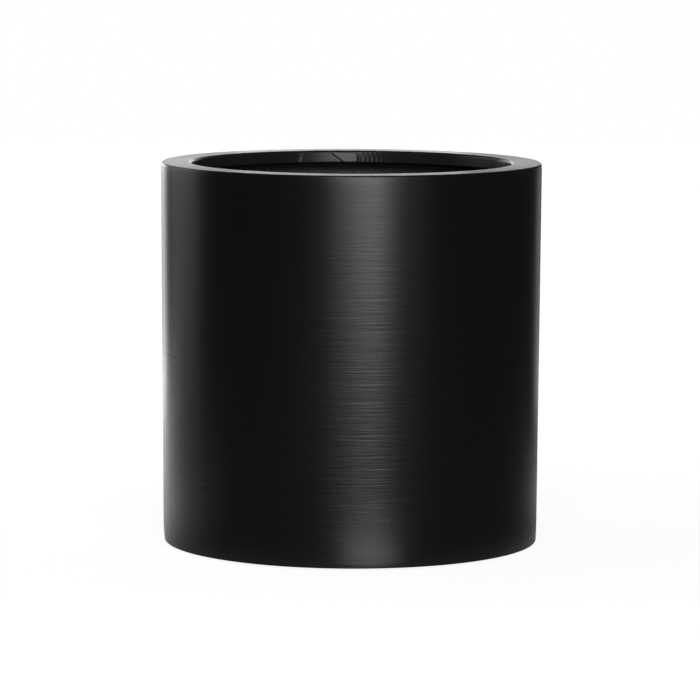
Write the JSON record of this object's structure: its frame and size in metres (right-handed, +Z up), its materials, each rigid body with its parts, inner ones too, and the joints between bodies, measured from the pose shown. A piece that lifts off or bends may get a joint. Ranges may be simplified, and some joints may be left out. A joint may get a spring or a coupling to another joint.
{
  "type": "floor planter",
  "caption": "Round black fibreglass floor planter, as tall as wide, with a flat inward rim, turned-down lip, bonded floor, drain plug and foot pads.",
  "frame": {"origin": "on the ground under the planter's centre, at the underside of the foot pads", "axes": "+Z up along the planter's axis, -Y the front that the picture shows, +X to that view's right"},
  "size_m": [0.5, 0.5, 0.5025],
  "materials": {
    "black_paint": "satin black paint over glass-fibre laminate, sanded round the wall in fine level lines",
    "raw_laminate": "unsanded chopped-strand laminate, dyed black, rough to the touch",
    "black_rubber": "matt moulded rubber"
  },
  "bodies": {
    "planter": {"side_wall": "black_paint", "rim_ring": "black_paint", "lip_tape": "black_paint", "floor_panel": "raw_laminate", "floor_fillet": "raw_laminate", "foot_pad_1": "black_rubber", "foot_pad_2": "black_rubber", "foot_pad_3": "black_rubber", "foot_pad_4": "black_rubber"},
    "plug": {"drain_plug": "black_rubber"}
  },
  "joints": [
    {"name": "plug_lift", "type": "slide", "parent": "planter", "child": "plug", "axis": [0, 0, 1], "range_m": [0, 0.03]}
  ]
}
